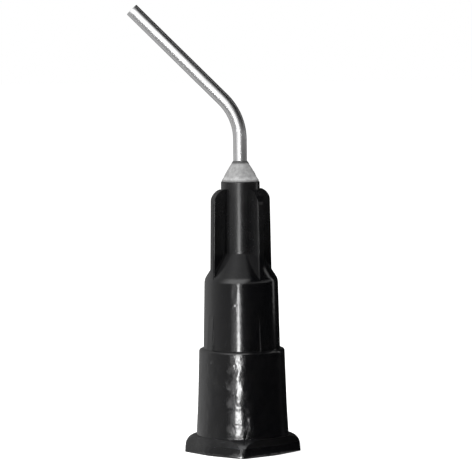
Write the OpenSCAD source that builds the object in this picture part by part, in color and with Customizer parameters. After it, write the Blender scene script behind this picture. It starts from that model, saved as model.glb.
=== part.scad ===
// Bent dispensing needle tip: a moulded luer-lock hub, a bent steel cannula, and the resin collar that
// bonds the one in the other. The hub's mouth is at z = 0, the hub's axis is Z, and the cannula bends
// towards -X.

/* [Luer socket] */
// Diameter of the socket at its mouth
socket_d = 4.3; // [4.27:0.005:4.32]
// Depth of the tapered socket
socket_depth = 9.0; // [7.5:0.1:9.5]
// Loss of diameter for each millimetre of depth
socket_taper = 0.06; // [0.05:0.005:0.07]
// Chamfer round the mouth
mouth_chamfer = 0.1; // [0.05:0.01:0.2]
// Diameter of the lead-in cone at the socket's floor
funnel_d = 2.6; // [1.6:0.1:3]
// Height of the lead-in cone
funnel_len = 1.25; // [0.8:0.05:1.6]
// Diameter of the passage under the cannula's seat
passage_d = 0.66; // [0.6:0.01:0.8]

/* [Lock flange] */
// Width across the corners that engage the lock collar
lug_d = 7.76; // [7.7:0.01:7.83]
// Height of the flange where it meets the barrel
flange_h = 1.17; // [1:0.01:1.4]
// Radius of the rounded shoulder over each corner
shoulder_r = 0.7; // [0.5:0.01:0.75]
// Radius of each corner, seen from below
corner_r = 0.3; // [0.15:0.01:0.5]
// How far the flange's flats stand out from the barrel's foot
flange_land = 0.06; // [0.03:0.01:0.15]
// How much wider the corners are at the mouth than under the shoulder
lug_draft = 0.04; // [0.01:0.01:0.08]
// Radius round the flange's bottom edge
flange_edge_r = 0.06; // [0.03:0.01:0.1]

/* [Barrel] */
// Diameter of the barrel above the flange
barrel_foot_d = 6.18; // [6:0.01:6.4]
// Diameter of the barrel where its foot begins to flare
barrel_waist_d = 5.97; // [5.8:0.01:6]
// Height at which the foot begins to flare
barrel_waist_z = 3.1; // [2:0.1:5]
// Diameter of the barrel at its ledge
barrel_top_d = 5.72; // [5.5:0.01:5.8]
// Height of the ledge above the mouth
barrel_len = 6.95; // [6:0.05:7.5]
// Radius round the ledge's outer edge
ledge_edge_r = 0.16; // [0.05:0.01:0.2]

/* [Sleeve] */
// Diameter of the sleeve where it rises from the ledge
sleeve_foot_d = 5.12; // [4.9:0.01:5.2]
// Diameter of the sleeve at its top
sleeve_top_d = 4.92; // [4.8:0.01:5]
// Height of the sleeve above the ledge
sleeve_len = 4.64; // [4:0.05:5.5]
// Slope of the cone between sleeve and core, from the hub's axis
cone_angle = 32.5; // [25:0.5:45]
// Radius where that cone meets the sleeve
cone_edge_r = 0.9; // [0.3:0.05:1.2]

/* [Core] */
// Diameter of the core at the foot of the fins
core_foot_d = 2.68; // [2.6:0.01:2.8]
// Diameter of the core at the hub's top
core_top_d = 2.58; // [2.5:0.01:2.65]
// Radius round the core's top edge
core_edge_r = 0.05; // [0.02:0.01:0.1]
// Length of the whole hub
hub_len = 18.1; // [17:0.1:20]

/* [Fins] */
// Number of fins round the core
fin_count = 4; // [2:1:6]
// Turn of the first fin from +X
fin_turn = 35.4; // [0:0.1:60]
// Thickness of a fin
fin_t = 0.48; // [0.3:0.01:0.6]
// Width over opposite fins at their top
fin_top_d = 4.59; // [4.2:0.01:4.7]
// Width over opposite fins at their foot
fin_foot_d = 4.83; // [4.7:0.01:4.9]
// Length of bare core above the fins
neck_len = 0.48; // [0.3:0.01:1]
// Radius along the fins' long edges
fin_edge_r = 0.11; // [0.05:0.01:0.14]

/* [Grip ribs] */
// Thickness of a grip rib
rib_t = 0.72; // [0.5:0.01:0.9]
// Width over opposite grip ribs at the ledge
rib_foot_d = 5.32; // [5.2:0.01:5.4]
// Height over which a rib rises from the sleeve's wall
rib_len = 3.2; // [2:0.1:4]
// Radius along the ribs' long edges
rib_edge_r = 0.1; // [0.05:0.01:0.2]

/* [Cannula] */
// Outer diameter of the cannula, 20 gauge
cannula_od = 0.908; // [0.8:0.001:0.95]
// Wall thickness of the cannula
cannula_wall = 0.152; // [0.1:0.001:0.2]
// Clearance round the cannula in the hub
cannula_clearance = 0.02; // [0.01:0.005:0.04]
// Depth of the cannula's seat below the hub's top
seat_depth = 6.9; // [5:0.1:7.2]
// Straight length between the hub's top and the bend
rise_len = 2.8; // [2:0.1:6]
// Radius of the bend on the cannula's centre line
bend_r = 3.8; // [2:0.1:6]
// Angle of the bend
bend_angle = 45; // [15:1:90]
// Straight length from the bend to the outlet
outlet_len = 8.48; // [4:0.01:15]

/* [Resin collar] */
// Depth of the resin well in the hub's top
well_depth = 1.2; // [0.6:0.1:2]
// Diameter of the well at the hub's top
well_d = 2.04; // [1.6:0.01:2.2]
// Diameter of the resin collar on the hub's top
collar_d = 2.48; // [2.3:0.01:2.48]
// Height of the collar's upright rim
collar_rim = 0.08; // [0.02:0.01:0.2]
// Height of the collar above the hub
collar_h = 1.5; // [1:0.05:1.8]
// Diameter of the collar where it ends on the cannula
collar_top_d = 1.06; // [0.98:0.01:1.3]

/* [Hidden] */
$fn = 96;

// Overlap that makes one form run into the next, and lets a cut run past a face
into = 0.2;
// How far the rounded top of a fin starts outside the fin's outer face
trim = 0.02;
// Straight pieces in a rounded edge of a profile, and in a small rounded edge
round_steps = 8;
edge_steps = 4;
corner_count = 4;

socket_r = socket_d / 2;
socket_floor_r = socket_r - socket_taper / 2 * socket_depth;
cannula_r = cannula_od / 2;
lumen_r = cannula_r - cannula_wall;
cannula_bore_r = cannula_r + cannula_clearance;
seat_z = hub_len - seat_depth;
well_z = hub_len - well_depth;
sleeve_z = barrel_len + sleeve_len;
core_z = sleeve_z + (sleeve_top_d - core_foot_d) / 2 / tan(cone_angle);
fin_top_z = hub_len - neck_len;
fin_height = (fin_top_d - core_top_d) / 2;
lug_r = lug_d / 2;
flange_r = barrel_foot_d / 2 + flange_land;
bend_z = hub_len + rise_len;

// Points of an arc that rounds the corner at p1 of the path p0, p1, p2
function rounded(p0, p1, p2, r, steps) =
    let (u = (p0 - p1) / norm(p0 - p1),
         v = (p2 - p1) / norm(p2 - p1),
         half = acos(u * v) / 2,
         centre = p1 + (u + v) / norm(u + v) * r / sin(half),
         from = p1 + u * r / tan(half) - centre,
         to = p1 + v * r / tan(half) - centre,
         start = atan2(from.y, from.x),
         turn = atan2(from.x * to.y - from.y * to.x, from * to))
    [for (i = [0 : steps]) centre + r * [cos(start + turn * i / steps), sin(start + turn * i / steps)]];

// Outer form of the barrel, sleeve, cone and core, turned about the hub's axis
module hub_body() {
    foot = [barrel_foot_d / 2, flange_h];
    waist = [barrel_waist_d / 2, barrel_waist_z];
    ledge_out = [barrel_top_d / 2, barrel_len];
    ledge_in = [sleeve_foot_d / 2, barrel_len];
    sleeve_top = [sleeve_top_d / 2, sleeve_z];
    core_foot = [core_foot_d / 2, core_z];
    core_top = [core_top_d / 2, hub_len];
    rotate_extrude()
        polygon(concat(
            [[0, 0], [foot.x, 0], foot, waist],
            rounded(waist, ledge_out, ledge_in, ledge_edge_r, edge_steps),
            [ledge_in],
            rounded(ledge_in, sleeve_top, core_foot, cone_edge_r, round_steps),
            [core_foot],
            rounded(core_foot, core_top, [0, hub_len], core_edge_r, edge_steps),
            [[0, hub_len]]));
}

// The flange from below: a round land drawn out along tangents to four corners
module flange_outline() {
    corner_x = lug_r - corner_r;
    tangent = acos((flange_r - corner_r) / corner_x);
    land_point = flange_r * [cos(tangent), sin(tangent)];
    turns = 360 / corner_count;
    corner = [for (i = [-edge_steps : edge_steps])
        [corner_x + corner_r * cos(tangent * i / edge_steps), corner_r * sin(tangent * i / edge_steps)]];
    circle(flange_r);
    for (i = [0 : corner_count - 1])
        rotate(i * turns)
            polygon(concat([[0, 0], [land_point.x, -land_point.y]], corner, [land_point]));
}

// The flange: its outline cut back by a turned form with a rounded shoulder
module flange() {
    edge = [lug_r, 0];
    side = [lug_r - lug_draft, flange_h - shoulder_r];
    shoulder = [for (i = [0 : round_steps])
        side - [shoulder_r, 0] + shoulder_r * [cos(90 * i / round_steps), sin(90 * i / round_steps)]];
    intersection() {
        linear_extrude(flange_h) flange_outline();
        rotate_extrude()
            polygon(concat(
                [[0, 0]],
                rounded([0, 0], edge, side, flange_edge_r, edge_steps),
                shoulder,
                [[0, flange_h]]));
    }
}

// An upright plate along +X with rounded outer edges, which leans in with height.
// It starts at foot_z, where its outer face is foot_r from the axis, and reaches top_r at top_z.
module leaning_plate(foot_r, foot_z, top_r, top_z, t, edge_r) {
    lean = atan((foot_r - top_r) / (top_z - foot_z));
    slant = (top_z - foot_z) / cos(lean);
    root_x = -core_top_d / 2;
    outer = [0, t / 2];
    translate([foot_r, 0, foot_z])
        rotate([0, -lean, 0])
            linear_extrude(slant)
                polygon(concat(
                    [[root_x, -t / 2]],
                    rounded([root_x, -t / 2], [0, -t / 2], outer, edge_r, edge_steps),
                    rounded([0, -t / 2], outer, [root_x, t / 2], edge_r, edge_steps),
                    [[root_x, t / 2]]));
}

// One fin: a leaning plate whose top is a quarter round from its outer face to the core
module fin() {
    foot_z = sleeve_z - into;
    centre = [core_top_d / 2, fin_top_z - fin_height];
    outer_x = fin_foot_d / 2 + into;
    quarter = [for (i = [0 : round_steps])
        centre + (fin_height + trim) * [cos(90 * i / round_steps), sin(90 * i / round_steps)]];
    intersection() {
        leaning_plate(fin_foot_d / 2, foot_z, fin_top_d / 2, fin_top_z, fin_t, fin_edge_r);
        rotate([90, 0, 0])
            linear_extrude(fin_t + into, center = true)
                polygon(concat(
                    [[0, foot_z - into], [outer_x, foot_z - into], [outer_x, centre.y]],
                    quarter,
                    [[0, fin_top_z]]));
    }
}

// One grip rib: a leaning plate that starts in the ledge and ends inside the sleeve's wall
module grip_rib() {
    foot_z = barrel_len - into;
    top_z = barrel_len + rib_len;
    sleeve_draft = (sleeve_foot_d - sleeve_top_d) / 2 / sleeve_len;
    hidden_r = sleeve_foot_d / 2 - sleeve_draft * rib_len - rib_edge_r / 2;
    leaning_plate(rib_foot_d / 2, foot_z, hidden_r, top_z, rib_t, rib_edge_r);
}

// The hub's inside: luer socket, lead-in cone, passage, cannula bore and resin well
module hub_hollow() {
    rotate_extrude()
        polygon([
            [0, -into],
            [socket_r + mouth_chamfer + into, -into],
            [socket_r + mouth_chamfer, 0],
            [socket_r - socket_taper / 2 * mouth_chamfer, mouth_chamfer],
            [socket_floor_r, socket_depth],
            [funnel_d / 2, socket_depth],
            [passage_d / 2, socket_depth + funnel_len],
            [passage_d / 2, seat_z + into],
            [0, seat_z + into]]);
    translate([0, 0, seat_z])
        cylinder(r = cannula_bore_r, h = seat_depth + into);
    rotate_extrude()
        polygon([
            [0, well_z],
            [cannula_bore_r, well_z],
            [well_d / 2, hub_len],
            [well_d / 2, hub_len + into],
            [0, hub_len + into]]);
}

module hub() {
    color([0.05, 0.05, 0.055])
        difference() {
            union() {
                hub_body();
                flange();
                for (i = [0 : fin_count - 1])
                    rotate([0, 0, fin_turn + i * 360 / fin_count]) {
                        fin();
                        grip_rib();
                    }
            }
            hub_hollow();
        }
}

// A bent rod of radius r along the cannula's centre line, run past both ends by extra.
// It is drawn round the bend's centre, so that the three runs share their end circles.
module bent_rod(r, extra) {
    translate([-bend_r, 0, bend_z])
        rotate([90, 0, 0]) {
            translate([bend_r, 0, 0])
                rotate([90, 0, 0])
                    cylinder(r = r, h = bend_z - seat_z + extra);
            rotate_extrude(angle = bend_angle)
                translate([bend_r, 0])
                    circle(r);
            rotate([0, 0, bend_angle])
                translate([bend_r, 0, 0])
                    rotate([-90, 0, 0])
                        cylinder(r = r, h = outlet_len + extra);
        }
}

module cannula() {
    color([0.8, 0.8, 0.81])
        difference() {
            bent_rod(cannula_r, 0);
            bent_rod(lumen_r, into);
        }
}

// The resin: it fills the well round the cannula and stands on the hub's top as a cone
module resin_collar() {
    color([0.7, 0.7, 0.7])
        rotate_extrude()
            polygon([
                [cannula_r, well_z],
                [cannula_bore_r, well_z],
                [well_d / 2, hub_len],
                [collar_d / 2, hub_len],
                [collar_d / 2, hub_len + collar_rim],
                [collar_top_d / 2, hub_len + collar_h],
                [cannula_r, hub_len + collar_h]]);
}

hub();
cannula();
resin_collar();
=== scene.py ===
"""Bent dispensing needle tip: a black moulded luer hub, a bent steel tube and a grey resin cone.

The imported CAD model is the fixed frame. The hub keeps its CAD solid and gets a moulded-plastic
material. The tube and the resin cone are finer meshes made here, inside their CAD solids' boxes.
"""

import math

import bpy
from mathutils import Matrix, Vector, noise


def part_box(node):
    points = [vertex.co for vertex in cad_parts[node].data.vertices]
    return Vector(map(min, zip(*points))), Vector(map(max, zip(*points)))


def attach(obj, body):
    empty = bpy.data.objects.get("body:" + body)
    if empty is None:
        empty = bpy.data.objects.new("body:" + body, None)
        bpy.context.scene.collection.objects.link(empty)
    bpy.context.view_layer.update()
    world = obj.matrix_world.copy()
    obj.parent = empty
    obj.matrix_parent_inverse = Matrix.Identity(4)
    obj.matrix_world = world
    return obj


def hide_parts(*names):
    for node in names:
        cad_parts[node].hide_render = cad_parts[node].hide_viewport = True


MM = 0.001

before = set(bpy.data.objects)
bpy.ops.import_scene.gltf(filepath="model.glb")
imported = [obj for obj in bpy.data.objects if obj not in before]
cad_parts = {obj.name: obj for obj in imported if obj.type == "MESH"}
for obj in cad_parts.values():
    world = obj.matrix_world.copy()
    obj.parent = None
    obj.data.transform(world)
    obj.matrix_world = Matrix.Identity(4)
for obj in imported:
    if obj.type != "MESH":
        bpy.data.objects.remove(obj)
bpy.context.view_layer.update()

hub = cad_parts["hub"]
hub_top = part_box("hub")[1].z
seat_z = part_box("cannula")[0].z
resin_low, resin_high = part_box("resin_collar")


# ---------------------------------------------------------------- node helpers

class Nodes:
    """Builds the node tree of one material or world with short calls."""

    def __init__(self, owner):
        self.owner = owner
        owner.use_nodes = True
        self.tree = owner.node_tree
        self.tree.nodes.clear()

    def add(self, kind, inputs=None, **settings):
        node = self.tree.nodes.new(kind)
        for key, value in settings.items():
            setattr(node, key, value)
        for key, value in (inputs or {}).items():
            self.put(node.inputs[key], value)
        return node

    def put(self, socket, value):
        if isinstance(value, bpy.types.NodeSocket):
            self.tree.links.new(value, socket)
        else:
            socket.default_value = value

    def math(self, operation, *values, clamp=False):
        node = self.add("ShaderNodeMath", dict(enumerate(values)), operation=operation)
        node.use_clamp = clamp
        return node.outputs[0]

    def fold(self, operation, first, *others):
        """One value out of several, taken two at a time."""
        for other in others:
            first = self.math(operation, first, other)
        return first

    def hypotenuse(self, a, b):
        squares = self.math("ADD", self.math("MULTIPLY", a, a), self.math("MULTIPLY", b, b))
        return self.math("SQRT", squares)

    def vector_math(self, operation, *values):
        return self.add("ShaderNodeVectorMath", dict(enumerate(values)), operation=operation)

    def ramp(self, value, low, high, to_low=0.0, to_high=1.0, smooth=True):
        inputs = {"Value": value, "From Min": low, "From Max": high,
                  "To Min": to_low, "To Max": to_high}
        kind = "SMOOTHSTEP" if smooth else "LINEAR"
        return self.add("ShaderNodeMapRange", inputs, interpolation_type=kind).outputs[0]

    def band(self, value, rise, fall):
        """1 between two slopes; each is given as where it is 0 and where it is 1."""
        return self.math("MULTIPLY", self.ramp(value, *rise), self.ramp(value, *fall))

    def noise(self, vector, scale, detail=2.0, roughness=0.5, seed=0.0):
        inputs = {"Vector": vector, "W": seed, "Scale": scale, "Detail": detail,
                  "Roughness": roughness}
        return self.add("ShaderNodeTexNoise", inputs, noise_dimensions="4D").outputs["Fac"]

    def stretched(self, vector, scale):
        return self.add("ShaderNodeMapping", {"Vector": vector, "Scale": scale}).outputs[0]

    def blend(self, factor, first, second):
        node = self.add("ShaderNodeMix", {"Factor": factor}, data_type="RGBA")
        colour_a, colour_b = node.inputs[6], node.inputs[7]
        self.put(colour_a, first)
        self.put(colour_b, second)
        return node.outputs[2]

    def bump(self, height, depth_mm, normal=None):
        inputs = {"Height": height, "Distance": depth_mm * MM}
        if normal is not None:
            inputs["Normal"] = normal
        return self.add("ShaderNodeBump", inputs).outputs[0]

    def principled(self, **inputs):
        named = {key.replace("_", " "): value for key, value in inputs.items()}
        self.add_output(self.add("ShaderNodeBsdfPrincipled", named).outputs[0])
        return self.owner

    def add_output(self, shader, kind="ShaderNodeOutputMaterial"):
        self.add(kind, {"Surface": shader})


def new_nodes(name):
    return Nodes(bpy.data.materials.new(name))


def millimetres(n):
    """Object coordinates in millimetres, and their x, y and z."""
    coord = n.add("ShaderNodeTexCoord").outputs["Object"]
    scaled = n.add("ShaderNodeVectorMath", {0: coord, "Scale": 1 / MM}, operation="SCALE")
    mm = scaled.outputs[0]
    split = n.add("ShaderNodeSeparateXYZ", {0: mm})
    return mm, split.outputs[0], split.outputs[1], split.outputs[2]


# ---------------------------------------------------------------- black plastic

# Heights on the hub, in millimetres
LEDGE_Z = 6.95
CONE_FOOT_Z = 11.59
CORE_FOOT_Z = 13.35

# Dents in the hub's front: start and end as (x, z), half width, depth as a share of NICK_DEPTH
NICKS = [
    ((0.42, 1.95), (0.12, 0.98), 0.085, -1.3), ((0.47, 1.00), (0.53, 1.12), 0.14, 0.5),
    ((0.75, 2.25), (0.78, 1.7), 0.60, 1.9), ((0.62, 2.9), (0.66, 2.7), 0.5, 0.9),
    ((-1.30, 1.0), (-1.20, 1.7), 0.70, 1.5), ((-1.40, 4.95), (-1.30, 4.6), 0.60, 1.35),
    ((-1.32, 3.6), (-1.25, 3.4), 0.60, 1.0), ((-1.25, 5.9), (-1.2, 5.7), 0.5, 0.7),
    ((-0.62, 9.95), (-0.52, 10.0), 0.18, 0.35), ((-0.50, 10.6), (-0.42, 11.2), 0.22, -0.2),
    ((-0.5, 4.03), (-0.48, 4.03), 0.06, -0.5), ((-0.5, 3.68), (-0.48, 3.68), 0.06, -0.5),
]
# Scuffed places: centre and radius
SCUFFS = [
    ((-2.0, -2.05, 6.2), 0.16), ((1.5, -1.7, 12.35), 0.30), ((0.1, -1.35, 12.9), 0.14),
    ((-0.6, 2.9, 3.2), 0.5), ((2.7, 1.3, 4.4), 0.4), ((-2.6, 1.5, 1.5), 0.45),
    ((-1.2, 2.2, 9.0), 0.3),
]
SCUFF_CORE = 0.35  # share of a scuff's radius that is fully scuffed

# Depths of the relief, in millimetres
WAVE_DEPTH = 0.06
NICK_DEPTH = 0.03
SCUFF_DEPTH = 0.02
RIPPLE_DEPTH = 0.008
DRAWN_DEPTH = 0.0016
GRAIN_DEPTH = 0.0006

# Roughness, and what is added to it
PLASTIC_ROUGH = (0.11, 0.17)
CORE_ROUGHER = 0.12
SCUFF_ROUGHER = 0.2
MATT_ROUGHER = 0.20

PLASTIC_IOR = 1.49
BLACK_DARK = (0.0022, 0.0023, 0.0030, 1)
BLACK_LIGHT = (0.0038, 0.0037, 0.0042, 1)
WORN_GREY = (0.05, 0.05, 0.05, 1)
WORN_SHARE = 0.5


def segment_mask(n, x, z, start, end, width):
    """1 on the line from start to end in x and z, falling to 0 at width from it."""
    (x0, z0), (x1, z1) = start, end
    dx, dz = x1 - x0, z1 - z0
    length_squared = dx * dx + dz * dz
    px, pz = n.math("SUBTRACT", x, x0), n.math("SUBTRACT", z, z0)
    along_x = n.math("MULTIPLY", px, dx / length_squared)
    along_z = n.math("MULTIPLY", pz, dz / length_squared)
    along = n.math("ADD", along_x, along_z, clamp=True)
    qx = n.math("SUBTRACT", px, n.math("MULTIPLY", along, dx))
    qz = n.math("SUBTRACT", pz, n.math("MULTIPLY", along, dz))
    return n.ramp(n.hypotenuse(qx, qz), width, 0.0)


def nick_height(n, x, y, z):
    """The dents, on the front of the hub only."""
    dents = [n.math("MULTIPLY", segment_mask(n, x, z, start, end, width), depth)
             for start, end, width, depth in NICKS]
    return n.math("MULTIPLY", n.fold("ADD", *dents), n.ramp(y, -1.0, -1.6))


def scuff_mask(n, mm):
    """1 in the scuffed places, broken up by fine noise."""
    spots = []
    for centre, radius in SCUFFS:
        away = n.vector_math("DISTANCE", mm, centre).outputs["Value"]
        spots.append(n.ramp(away, radius, radius * SCUFF_CORE))
    fine = n.noise(mm, 9.0, detail=4.0, roughness=0.7, seed=21.0)
    return n.math("MULTIPLY", n.fold("MAXIMUM", *spots), n.ramp(fine, 0.42, 0.6))


def plastic_normal(n, mm, z, nicks, scuffed):
    """Waves on the barrel, dents, scuffs, a ripple on the sleeve, drawn lines and grain."""
    tall = n.stretched(mm, (1.0, 1.0, 0.8))
    lines = n.stretched(mm, (1.0, 1.0, 0.06))
    waves = n.noise(tall, 1.15, detail=2.5, roughness=0.55, seed=4.0)
    ripple = n.noise(mm, 3.2, detail=3.0, roughness=0.6, seed=1.5)
    drawn = n.noise(lines, 9.0, detail=2.0, seed=7.0)
    grain = n.noise(mm, 24.0, detail=2.0, roughness=0.7, seed=9.0)

    on_barrel = n.ramp(z, LEDGE_Z + 0.05, LEDGE_Z - 0.25)
    below_core = n.ramp(z, CORE_FOOT_Z, CONE_FOOT_Z)
    normal = n.bump(n.math("MULTIPLY", waves, on_barrel), WAVE_DEPTH)
    normal = n.bump(nicks, NICK_DEPTH, normal)
    normal = n.bump(scuffed, SCUFF_DEPTH, normal)
    normal = n.bump(n.math("MULTIPLY", ripple, below_core), RIPPLE_DEPTH, normal)
    normal = n.bump(drawn, DRAWN_DEPTH, normal)
    return n.bump(grain, GRAIN_DEPTH, normal)


def plastic_roughness(n, mm, z, scuffed):
    """Glossy in patches; duller on the core, in scuffs and on the flange's shoulder and edge."""
    patchy = n.noise(mm, 0.9, detail=4.0, roughness=0.65, seed=3.0)
    on_core = n.ramp(z, CORE_FOOT_Z - 0.3, CORE_FOOT_Z + 0.1)
    shoulder = n.band(z, (1.30, 1.15), (0.56, 0.70))
    matt = n.math("MAXIMUM", shoulder, n.ramp(z, 0.10, 0.03))
    return n.fold(
        "ADD",
        n.ramp(patchy, 0.3, 0.75, *PLASTIC_ROUGH),
        n.math("MULTIPLY", on_core, CORE_ROUGHER),
        n.math("MULTIPLY", scuffed, SCUFF_ROUGHER),
        n.math("MULTIPLY", matt, MATT_ROUGHER))


def plastic_material():
    """Black polypropylene: glossy on sleeve and barrel, satin on the core, wavy on the barrel."""
    n = new_nodes("black_plastic")
    mm, x, y, z = millimetres(n)
    nicks = nick_height(n, x, y, z)
    scuffed = scuff_mask(n, mm)
    normal = plastic_normal(n, mm, z, nicks, scuffed)
    rough = plastic_roughness(n, mm, z, scuffed)
    tint = n.noise(mm, 1.7, detail=3.0, seed=12.0)
    black = n.blend(n.ramp(tint, 0.3, 0.7), BLACK_DARK, BLACK_LIGHT)
    colour = n.blend(n.math("MULTIPLY", scuffed, WORN_SHARE), black, WORN_GREY)
    return n.principled(Base_Color=colour, Roughness=rough, Normal=normal, IOR=PLASTIC_IOR)


# ---------------------------------------------------------------- steel and resin

STEEL_LIGHT = (0.53, 0.53, 0.535, 1)
STEEL_STAINED = (0.47, 0.47, 0.47, 1)
STEEL_ROUGH = (0.26, 0.33)
STAIN_ROUGHER = 0.05

RESIN_DARK = (0.27, 0.27, 0.27, 1)
RESIN_LIGHT = (0.43, 0.43, 0.43, 1)
RESIN_ROUGH = (0.30, 0.45)
RESIN_RELIEF = 0.02     # millimetres
RESIN_TOP_PAINTED_SHADE = 0.22  # painted shade: the dark ring where the resin ends on the tube
RESIN_LOW_PAINTED_LIGHT = 0.35  # painted light: how much lighter the lower part is
RESIN_FOOT_PAINTED_SHADE = 0.45  # painted shade: the dark line on the hub's top


def steel_material():
    """Drawn stainless tube: fine lines of roughness along its length, slight stains."""
    n = new_nodes("drawn_steel")
    uv = n.add("ShaderNodeUVMap", uv_map="along").outputs[0]
    mm = millimetres(n)[0]
    drawn = n.noise(n.stretched(uv, (36.0, 0.35, 1.0)), 1.0, detail=1.5, seed=2.0)
    stain = n.noise(mm, 1.6, detail=4.0, roughness=0.6, seed=5.0)
    rough = n.math("ADD", n.ramp(drawn, 0.2, 0.8, *STEEL_ROUGH),
                   n.ramp(stain, 0.4, 0.8, 0.0, STAIN_ROUGHER))
    colour = n.blend(n.ramp(stain, 0.35, 0.75), STEEL_LIGHT, STEEL_STAINED)
    return n.principled(Base_Color=colour, Metallic=1.0, Roughness=rough)


def resin_material():
    """Cured grey resin: mottled, faintly glossy, with painted shade at its top and foot and a
    painted light band on its lower part.
    """
    n = new_nodes("grey_resin")
    mm, _, _, z = millimetres(n)
    mottle = n.noise(mm, 4.0, detail=4.0, roughness=0.65, seed=3.0)
    grey = n.blend(n.ramp(mottle, 0.3, 0.7), RESIN_DARK, RESIN_LIGHT)
    # Painted light and shade in the colour: a dark ring at the top, a lighter band low down and a
    # dark line at the foot
    above = n.math("SUBTRACT", z, hub_top / MM)
    painted_light_and_shade = n.math("ADD", n.ramp(above, 1.13, 1.27, 1.0, RESIN_TOP_PAINTED_SHADE),
                   n.ramp(above, 0.38, 0.24, 0.0, RESIN_LOW_PAINTED_LIGHT))
    painted_light_and_shade = n.math("MULTIPLY", painted_light_and_shade, n.ramp(above, 0.02, 0.18, RESIN_FOOT_PAINTED_SHADE, 1.0))
    grey_with_painted_light_and_shade = n.vector_math("MULTIPLY", grey, painted_light_and_shade).outputs[0]
    rough = n.ramp(mottle, 0.3, 0.7, *RESIN_ROUGH)
    return n.principled(Base_Color=grey_with_painted_light_and_shade, Roughness=rough, Normal=n.bump(mottle, RESIN_RELIEF))


# ---------------------------------------------------------------- geometry helpers

def new_object(name, data):
    obj = bpy.data.objects.new(name, data)
    bpy.context.scene.collection.objects.link(obj)
    return obj


def new_mesh(name, vertices, faces, material):
    mesh = bpy.data.meshes.new(name)
    mesh.from_pydata(vertices, [], faces)
    mesh.update()
    mesh.materials.append(material)
    return mesh


def new_piece(name, vertices, faces, material, sharp_angle, uvs=None):
    """A smooth-shaded object, with edges sharper than sharp_angle degrees left sharp."""
    mesh = new_mesh(name, vertices, faces, material)
    if uvs is not None:
        layer = mesh.uv_layers.new(name="along")
        for polygon, corners in zip(mesh.polygons, uvs):
            for loop, uv in zip(polygon.loop_indices, corners):
                layer.data[loop].uv = uv
    mesh.polygons.foreach_set("use_smooth", [True] * len(mesh.polygons))
    mesh.set_sharp_from_angle(angle=math.radians(sharp_angle))
    return new_object(name, mesh)


def ring_faces(rings, sides, closed=True):
    """Quads between each ring of vertices and the next; closed joins the last to the first."""
    faces = []
    for i in range(rings if closed else rings - 1):
        j = (i + 1) % rings
        for k in range(sides):
            m = (k + 1) % sides
            faces.append((i * sides + k, i * sides + m, j * sides + m, j * sides + k))
    return faces


def circle(radius, sides):
    """Points round Z as (x, y)."""
    turns = [2 * math.pi * k / sides for k in range(sides)]
    return [(radius * math.cos(a), radius * math.sin(a)) for a in turns]


# ---------------------------------------------------------------- the tube

TUBE_R = 0.454 * MM
TUBE_WALL = 0.152 * MM
BEND_R = 3.8 * MM
BEND_RISE = 2.8 * MM
BEND_ANGLE = math.radians(45)
OUTLET_LEN = 8.48 * MM
RISE_STEPS, BEND_STEPS, OUTLET_STEPS = 12, 28, 24
TUBE_SIDES = 72
CUT_SOFTNESS = 0.16  # rounding of the cut ends, as a share of the wall
CUT_BULGE = 0.3      # how far the rounding's middle point stays from the corner
TUBE_SHARP = 40      # degrees


def tube_path():
    """Points and directions of the tube's centre line, with the length run to each."""
    bend_z = hub_top + BEND_RISE
    rise = bend_z - seat_z
    stations = []
    for i in range(RISE_STEPS + 1):
        run = rise * i / RISE_STEPS
        stations.append((Vector((0, 0, seat_z + run)), Vector((0, 0, 1)), run))
    for i in range(1, BEND_STEPS + 1):
        a = BEND_ANGLE * i / BEND_STEPS
        point = Vector((BEND_R * (math.cos(a) - 1), 0, bend_z + BEND_R * math.sin(a)))
        stations.append((point, Vector((-math.sin(a), 0, math.cos(a))), rise + BEND_R * a))
    end, way, run = stations[-1]
    for i in range(1, OUTLET_STEPS + 1):
        out = OUTLET_LEN * i / OUTLET_STEPS
        stations.append((end + way * out, way, run + out))
    return stations


def moved(station, by):
    """The station moved along the tube."""
    point, way, run = station
    return point + way * by, way, run + by


def tube_rings(stations):
    """Radius and station of each ring: up the outside, over the outlet, down the lumen."""
    edge = TUBE_WALL * CUT_SOFTNESS
    inner = TUBE_R - TUBE_WALL
    first, last = stations[0], stations[-1]
    bulge = moved(last, -edge * CUT_BULGE)
    rings = [(inner + edge, first), (TUBE_R - edge, first), (TUBE_R, moved(first, edge))]
    rings += [(TUBE_R, station) for station in stations[1:-1]]
    rings += [(TUBE_R, moved(last, -edge)), (TUBE_R - edge * CUT_BULGE, bulge),
              (TUBE_R - edge, last), (inner + edge, last), (inner + edge * CUT_BULGE, bulge),
              (inner, moved(last, -edge))]
    rings += [(inner, station) for station in reversed(stations[1:-1])]
    rings += [(inner, moved(first, edge))]
    return rings


def make_tube():
    """A swept tube with a lumen. Its UV layer runs round the tube and along it in millimetres."""
    rings = tube_rings(tube_path())
    side = Vector((0, 1, 0))
    vertices = []
    for radius, (point, way, _) in rings:
        across = side.cross(way)
        vertices += [point + across * u + side * v for u, v in circle(radius, TUBE_SIDES)]
    uvs = []
    for (_, (_, _, run)), (_, (_, _, next_run)) in zip(rings, rings[1:] + rings[:1]):
        v0, v1 = run / MM, next_run / MM
        for k in range(TUBE_SIDES):
            u0, u1 = k / TUBE_SIDES, (k + 1) / TUBE_SIDES
            uvs.append(((u0, v0), (u1, v0), (u1, v1), (u0, v1)))
    faces = ring_faces(len(rings), TUBE_SIDES)
    return new_piece("needle_tube", vertices, faces, steel_material(), TUBE_SHARP, uvs)


# ---------------------------------------------------------------- the resin cone

# The cone's outside as (radius, height above the hub's top), in millimetres
SLOPE = [(1.24, 0.02), (1.23, 0.10), (1.10, 0.33), (0.99, 0.54), (0.87, 0.74), (0.75, 0.94),
         (0.62, 1.14), (0.565, 1.25), (0.54, 1.31), (0.49, 1.34), (0.454, 1.38)]
SLOPE_STEPS = 4
WELL_R = 1.02 * MM
WELL_FLOOR_R = TUBE_R + 0.02 * MM
CONE_SIDES = 96
CONE_SHARP = 60  # degrees
LUMPS = [(1300, 0.5), (2900, 0.3)]  # cycles per metre, share
LUMP_DEPTH = 0.06 * MM


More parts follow.
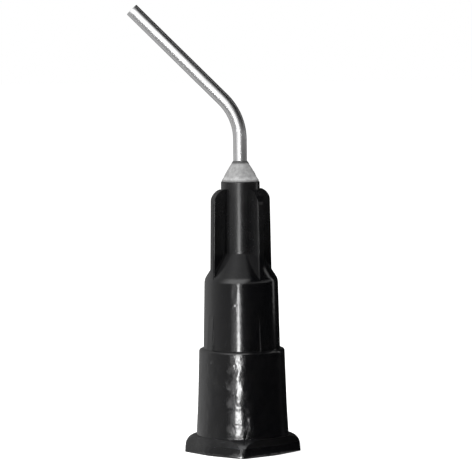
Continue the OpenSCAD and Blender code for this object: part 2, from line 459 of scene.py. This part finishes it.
def resin_profile():
    """Closed outline of the resin as (radius, z): the well, the rim, the slope."""
    profile = [(TUBE_R, resin_low.z), (WELL_FLOOR_R, resin_low.z),
               (WELL_R, hub_top), (resin_high.x, hub_top)]
    for (r0, z0), (r1, z1) in zip(SLOPE, SLOPE[1:]):
        for i in range(SLOPE_STEPS):
            t = i / SLOPE_STEPS
            profile.append(((r0 + (r1 - r0) * t) * MM, hub_top + (z0 + (z1 - z0) * t) * MM))
    profile.append((TUBE_R, hub_top + SLOPE[-1][1] * MM))
    return profile


def lumpy(point):
    """The point moved inward by the lumps; the well and the bore stay as they are."""
    radial = Vector((point.x, point.y, 0))
    radius = radial.length
    if point.z <= hub_top + 0.001 * MM or radius < TUBE_R * 1.02:
        return point
    lump = sum(noise.noise(point * cycles) * share for cycles, share in LUMPS)
    return point - radial / radius * (abs(lump) * LUMP_DEPTH)


def make_resin():
    profile = resin_profile()
    vertices = [lumpy(Vector((x, y, z))) for radius, z in profile
                for x, y in circle(radius, CONE_SIDES)]
    faces = ring_faces(len(profile), CONE_SIDES)
    return new_piece("resin_cone", vertices, faces, resin_material(), CONE_SHARP)


# ---------------------------------------------------------------- the object

hub.material_slots[0].material = plastic_material()

needle = make_tube()
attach(needle, "root")
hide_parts("cannula")

collar = make_resin()
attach(collar, "root")
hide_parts("resin_collar")


# ---------------------------------------------------------------- floor, tent, world, light

FLOOR_HALF = 2.0
FLOOR_DROP = 0.01 * MM
FLOOR_GREY = 0.9
FLOOR_GLOW = 0.62
WHITE = (1, 1, 1, 1)

# The tent's outline as (radius, z), in millimetres: a mat on the floor, a wall and a roof
TENT_PROFILE = [(3.95, -0.005), (42, -0.005), (42, 3), (42, 8), (42, 13), (42, 18.5), (42, 30),
                (34, 52), (20, 66), (0.01, 72)]
TENT_SIDES = 180
# The tent's brightness by azimuth in degrees: 0 is the front, 90 the right
TENT_STOPS = [(-180, 0.10), (-150, 0.35), (-110, 0.85), (-60, 0.48), (-28, 0.38), (0, 0.22),
              (10, 0.10), (28, 0.03), (60, 0.01), (110, 0.01), (117, 0.05), (124, 0.01),
              (150, 0.01), (180, 0.04)]
# Brightness of the tent's patches; a pair is given below and above
STRIP = (34.0, 9.0)
STRIP_GLOW = (2.8, 1.2)
UPPER_FRONT = (2.6, 0.45)
RIGHT_PATCH = 0.55
REAR_STREAK = 0.9

WORLD_DIFFUSE = 0.45


def make_floor():
    """White and lit from above, with the object's shadow; clear from below."""
    n = new_nodes("floor_white")
    path = n.add("ShaderNodeLightPath")
    grey = (FLOOR_GREY, FLOOR_GREY, FLOOR_GREY, 1)
    diffuse = n.add("ShaderNodeBsdfDiffuse", {"Color": grey}).outputs[0]
    glow = n.add("ShaderNodeEmission", {"Color": WHITE, "Strength": FLOOR_GLOW}).outputs[0]
    lit = n.add("ShaderNodeAddShader", {0: diffuse, 1: glow}).outputs[0]
    camera_ray = path.outputs["Is Camera Ray"]
    seen = n.add("ShaderNodeMixShader", {0: camera_ray, 1: diffuse, 2: lit}).outputs[0]
    under = n.add("ShaderNodeBsdfTransparent").outputs[0]
    back = n.add("ShaderNodeNewGeometry").outputs["Backfacing"]
    n.add_output(n.add("ShaderNodeMixShader", {0: back, 1: seen, 2: under}).outputs[0])
    corners = [Vector((x * FLOOR_HALF, y * FLOOR_HALF, -FLOOR_DROP))
               for x, y in ((-1, -1), (1, -1), (1, 1), (-1, 1))]
    floor = new_object("floor", new_mesh("floor", corners, [(0, 1, 2, 3)], n.owner))


def around_brightness(n, azimuth):
    """The tent's plain brightness by azimuth."""
    turn = n.ramp(azimuth, -180, 180, smooth=False)
    node = n.add("ShaderNodeValToRGB", {0: turn})
    elements = node.color_ramp.elements
    while len(elements) < len(TENT_STOPS):
        elements.new(0.5)
    for element, (angle, value) in zip(elements, TENT_STOPS):
        element.position = (angle + 180) / 360
        element.color = (value, value, value, 1)
    return node.outputs[0]


def tent_brightness(n):
    """The plain brightness and the patches on it; heights are in millimetres."""
    position = n.add("ShaderNodeNewGeometry").outputs["Position"]
    split = n.add("ShaderNodeSeparateXYZ", {0: position})
    px, py, pz = (split.outputs[i] for i in range(3))
    radians = n.math("ARCTAN2", px, n.math("MULTIPLY", py, -1.0))
    azimuth = n.math("MULTIPLY", radians, 180 / math.pi)
    height = n.math("MULTIPLY", pz, 1 / MM)

    # The strip and its glow cover the wall's lower part, and the mat only near the object
    near = n.ramp(n.hypotenuse(px, py), 13 * MM, 9 * MM)
    upright = n.math("MAXIMUM", n.ramp(height, 0.0, 0.2), near)
    low = n.math("MULTIPLY", n.ramp(height, 18.5, 17.0), upright)
    strip = n.fold("MULTIPLY", n.band(azimuth, (-14.5, -11.0), (-3.5, -7.5)), low,
                   n.ramp(height, 3.0, 10.5, *STRIP, smooth=False))
    glow = n.fold("MULTIPLY", n.band(azimuth, (-34.0, -20.0), (4.0, -3.0)), low,
                  n.ramp(height, 2.0, 6.0, *STRIP_GLOW))

    # The upper front lights the tube; its right edge turns away with height
    above_hub = (17.5, 19.5)
    turned = n.math("SUBTRACT", azimuth, n.ramp(height, 21, 60, 0.0, 30.0, smooth=False))
    upper = n.fold("MULTIPLY", n.ramp(azimuth, -80, -25), n.ramp(turned, 25, -8),
                   n.ramp(height, *above_hub), n.ramp(height, 40, 60, *UPPER_FRONT))
    right = n.fold("MULTIPLY", n.band(azimuth, (5, 30), (125, 100)),
                   n.band(height, above_hub, (30, 24)), RIGHT_PATCH)

    # A streak behind on the right, for the edges of the right-hand fin
    streak = n.fold("MULTIPLY", n.band(azimuth, (110, 115), (124, 118)),
                    n.ramp(height, 5.0, 8.0), REAR_STREAK)
    return n.fold("ADD", around_brightness(n, azimuth), strip, glow, upper, right, streak)


def make_tent():
    """A light tent only reflections see: bright strip in front, pale left, dark right."""
    n = new_nodes("tent")
    emission = n.add("ShaderNodeEmission", {"Color": WHITE, "Strength": tent_brightness(n)})
    n.add_output(emission.outputs[0])
    vertices = [(y * MM, x * MM, z * MM) for radius, z in TENT_PROFILE
                for x, y in circle(radius, TENT_SIDES)]
    faces = ring_faces(len(TENT_PROFILE), TENT_SIDES, closed=False)
    tent = new_object("tent", new_mesh("tent", vertices, faces, n.owner))
    tent.visible_camera = False
    tent.visible_diffuse = False
    tent.visible_transmission = False
    tent.visible_shadow = False


def make_world():
    """White to the camera, to reflections and through glass; dimmer as diffuse light."""
    world = bpy.data.worlds.new("studio")
    n = Nodes(world)
    path = n.add("ShaderNodeLightPath")
    seen = n.fold("MAXIMUM", path.outputs["Is Camera Ray"], path.outputs["Is Glossy Ray"],
                  path.outputs["Is Transmission Ray"])
    dim, white = (n.add("ShaderNodeBackground", {"Color": WHITE, "Strength": strength}).outputs[0]
                  for strength in (WORLD_DIFFUSE, 1.0))
    mix = n.add("ShaderNodeMixShader", {0: seen, 1: dim, 2: white})
    n.add_output(mix.outputs[0], kind="ShaderNodeOutputWorld")
    bpy.context.scene.world = world


def make_overhead():
    """A soft light from the upper left; reflections don't see it."""
    place, target = Vector((-0.12, -0.10, 0.34)), Vector((0, 0, 0.012))
    data = bpy.data.lights.new("overhead", "AREA")
    data.shape = "RECTANGLE"
    data.size = data.size_y = 0.22
    data.energy = 1.1
    lamp = new_object("overhead", data)
    lamp.location = place
    lamp.rotation_mode = "QUATERNION"
    lamp.rotation_quaternion = (target - place).to_track_quat("-Z", "Y")
    lamp.visible_glossy = False


make_floor()
make_tent()
make_world()
make_overhead()


# ---------------------------------------------------------------- camera

CAMERA_PLACE = Vector((0.0, -0.190, 0.027))
CAMERA_AIM = Vector((-0.00032, 0.0, 0.01445))
CAMERA_ROLL = math.radians(-0.55)
CAMERA_LENS = 217.6
CAMERA_SENSOR = 36
CAMERA_CLIP = (0.01, 10)

camera_data = bpy.data.cameras.new("camera")
camera_data.sensor_width = CAMERA_SENSOR
camera_data.lens = CAMERA_LENS
camera_data.clip_start, camera_data.clip_end = CAMERA_CLIP
camera = new_object("camera", camera_data)
aim = (CAMERA_AIM - CAMERA_PLACE).to_track_quat("-Z", "Y").to_matrix().to_4x4()
roll = Matrix.Rotation(CAMERA_ROLL, 4, "Z")
camera.matrix_world = Matrix.Translation(CAMERA_PLACE) @ aim @ roll
bpy.context.scene.camera = camera
bpy.context.scene.view_settings.view_transform = "Standard"
